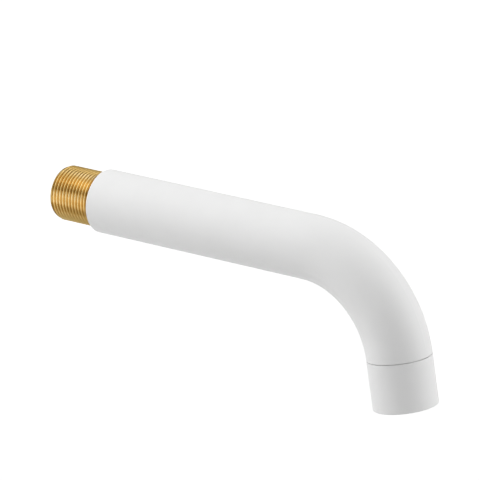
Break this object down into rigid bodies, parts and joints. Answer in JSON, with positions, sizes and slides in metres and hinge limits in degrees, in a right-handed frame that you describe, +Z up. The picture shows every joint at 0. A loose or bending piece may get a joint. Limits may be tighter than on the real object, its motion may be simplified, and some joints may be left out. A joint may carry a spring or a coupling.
{
  "type": "wall spout",
  "caption": "Bent round wall spout with a male pipe thread at the wall end, a straight screwed-on outlet sleeve and a honeycomb flow straightener in its mouth.",
  "frame": {"origin": "centre of the tube's wall-end face, on the axis of the inlet thread", "axes": "+Y from the spout into the wall along the inlet thread, -Y the way the spout reaches, +Z up, X across"},
  "size_m": [0.0304, 0.2104, 0.083],
  "materials": {
    "white_coating": "satin matt white coating",
    "nipple_brass": "turned",
    "bush_brass": "turned",
    "sleeve_coating": "satin matt white coating",
    "seal_rubber": "matt",
    "filter_plastic": "matt",
    "jet_plastic": "matt",
    "housing_plastic": "satin",
    "grid_plastic": "satin"
  },
  "bodies": {
    "root": {"spout_tube": "white_coating", "inlet_nipple": "nipple_brass", "outlet_bush": "bush_brass", "outlet_sleeve": "sleeve_coating", "aerator_washer": "seal_rubber", "aerator_filter": "filter_plastic", "aerator_jet_plate": "jet_plastic", "aerator_housing": "housing_plastic", "aerator_grid": "grid_plastic"}
  },
  "joints": []
}
